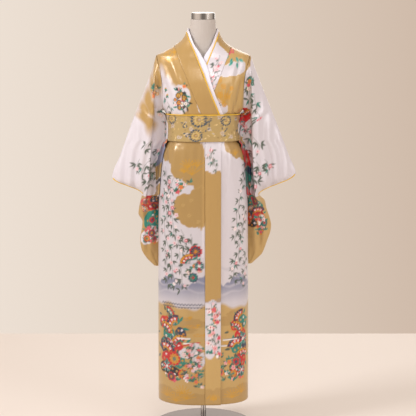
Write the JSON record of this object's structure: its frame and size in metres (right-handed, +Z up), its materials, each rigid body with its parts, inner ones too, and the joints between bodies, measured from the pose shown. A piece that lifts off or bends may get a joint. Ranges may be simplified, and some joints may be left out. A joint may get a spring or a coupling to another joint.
{
  "type": "kimono on a dress form",
  "caption": "Long-sleeved printed satin kimono with a wide brocade sash, dressed on a limbless dress form with a pole and a round base.",
  "frame": {"origin": "on the floor under the middle of the base, on the pole's axis", "axes": "+Z up; the wearer faces -Y; the wearer's right hand side is at -X"},
  "size_m": [0.7532, 0.422, 1.726],
  "materials": {
    "printed_satin": "satin, printed with gold clouds, flowers and leaves on lilac white",
    "white_collar": "matt satin",
    "gold_piping": "satin",
    "sash_brocade": "metallic brocade",
    "form_cover": "smooth, semi-matt",
    "chrome": "polished",
    "base_metal": "polished, warm grey"
  },
  "bodies": {
    "root": {"front_right": "printed_satin", "front_left": "printed_satin", "back_right": "printed_satin", "back_left": "printed_satin", "front_band_right": "printed_satin", "front_band_left": "printed_satin", "inner_collar_right": "white_collar", "inner_collar_left": "white_collar", "neck_piping_right": "gold_piping", "neck_piping_left": "gold_piping", "sleeve_right": "printed_satin", "sleeve_left": "printed_satin", "cuff_trim_right": "gold_piping", "cuff_trim_left": "gold_piping", "sash": "sash_brocade", "sash_top_cord": "gold_piping", "form_torso": "form_cover", "neck_cap": "chrome", "pole": "chrome", "base": "base_metal"}
  },
  "joints": []
}
